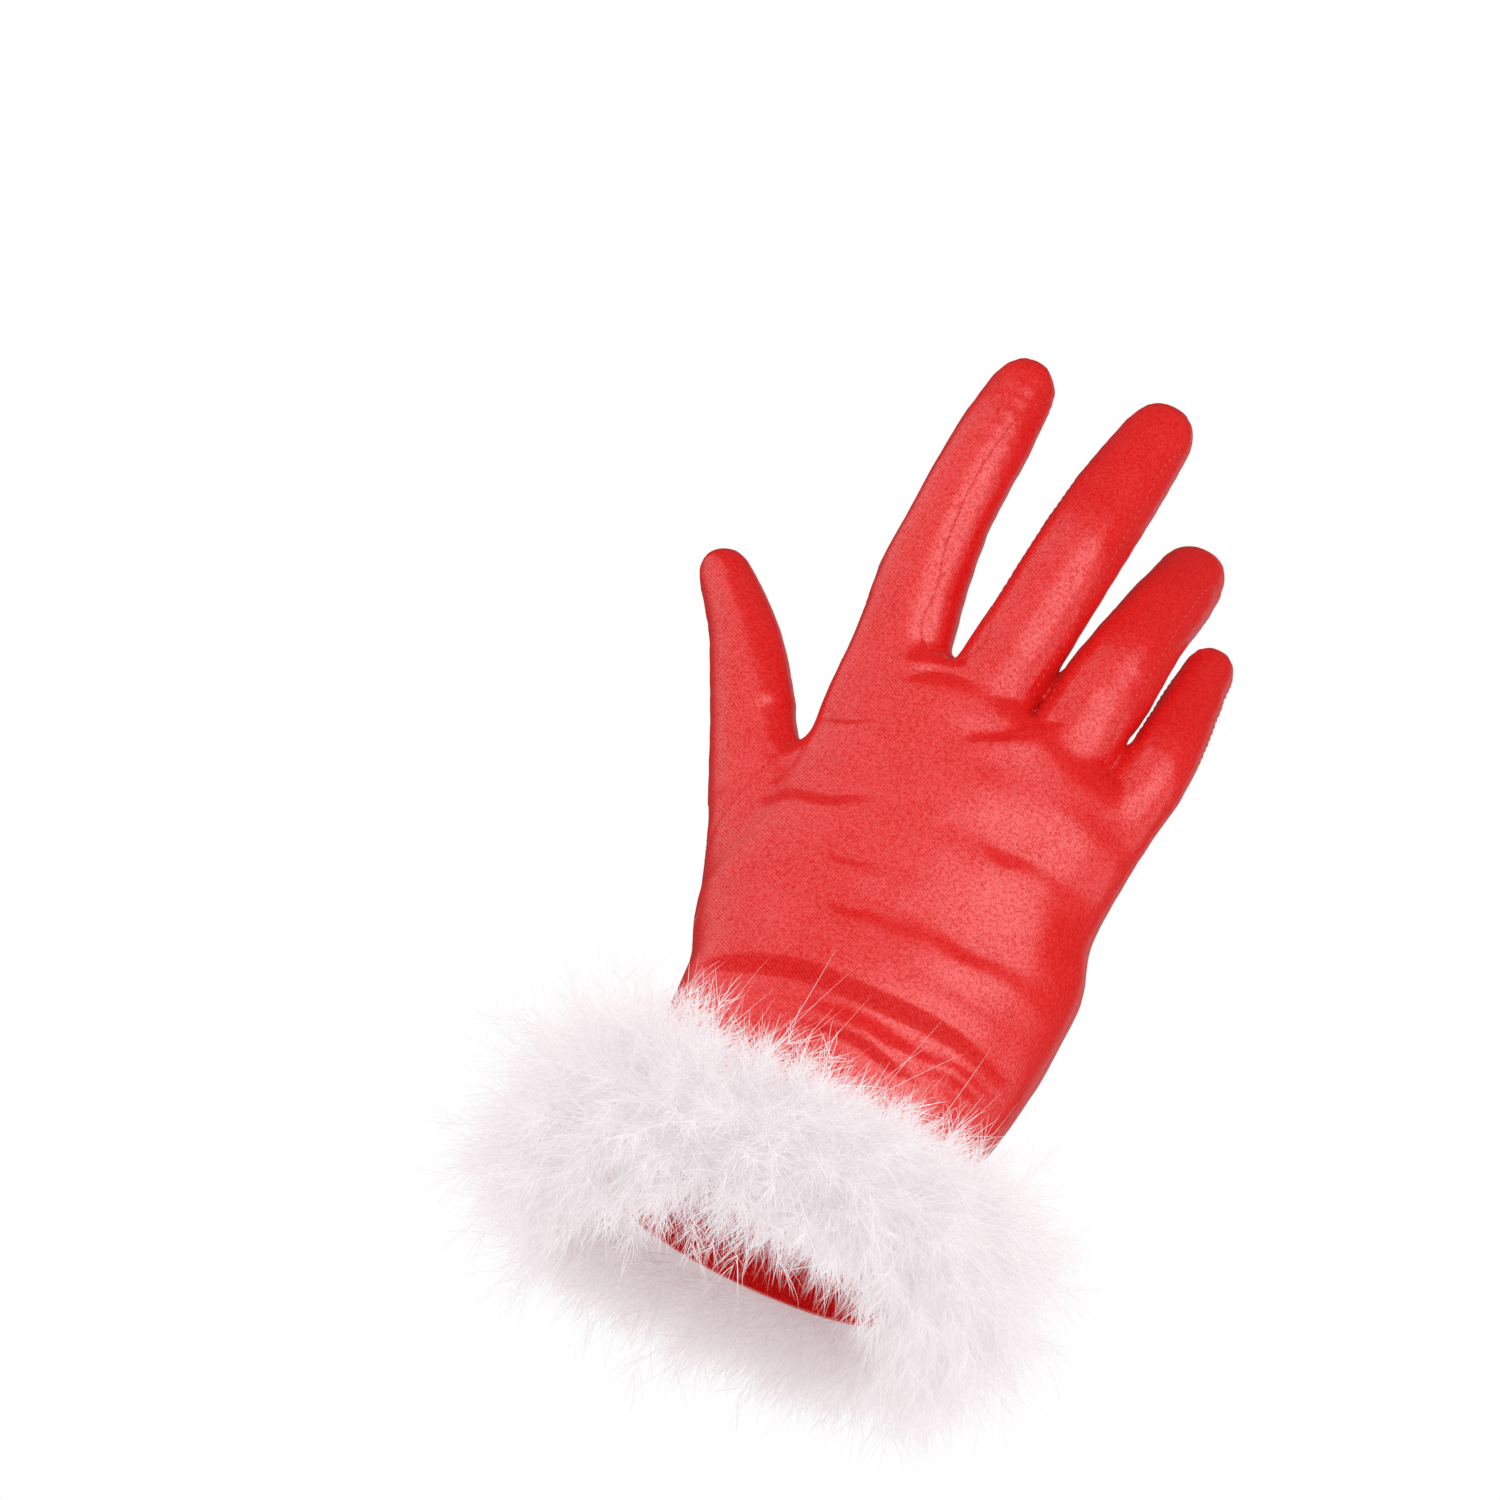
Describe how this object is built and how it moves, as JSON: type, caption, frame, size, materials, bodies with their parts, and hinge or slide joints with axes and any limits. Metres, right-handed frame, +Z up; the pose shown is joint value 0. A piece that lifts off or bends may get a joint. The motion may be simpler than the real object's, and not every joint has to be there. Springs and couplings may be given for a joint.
{
  "type": "costume glove",
  "caption": "Wrist-length costume glove of shiny red satin with a fluffy white feather trim round the wrist, right hand.",
  "frame": {"origin": "centre of the wrist opening, in the plane of the hem", "axes": "+Z up the hand to the fingertips, -Y out of the back of the hand, +Y out of the palm, +X to the little finger, -X to the thumb"},
  "size_m": [0.1671, 0.1281, 0.2637],
  "materials": {
    "satin": "shiny satin with a fine diagonal twill",
    "marabou": "soft matte feather fluff"
  },
  "bodies": {
    "root": {"back_panel": "satin", "palm_panel": "satin", "index_finger": "satin", "middle_finger": "satin", "ring_finger": "satin", "little_finger": "satin", "thumb": "satin", "fourchette_index_middle": "satin", "fourchette_middle_ring": "satin", "fourchette_ring_little": "satin", "marabou_trim": "marabou"}
  },
  "joints": []
}
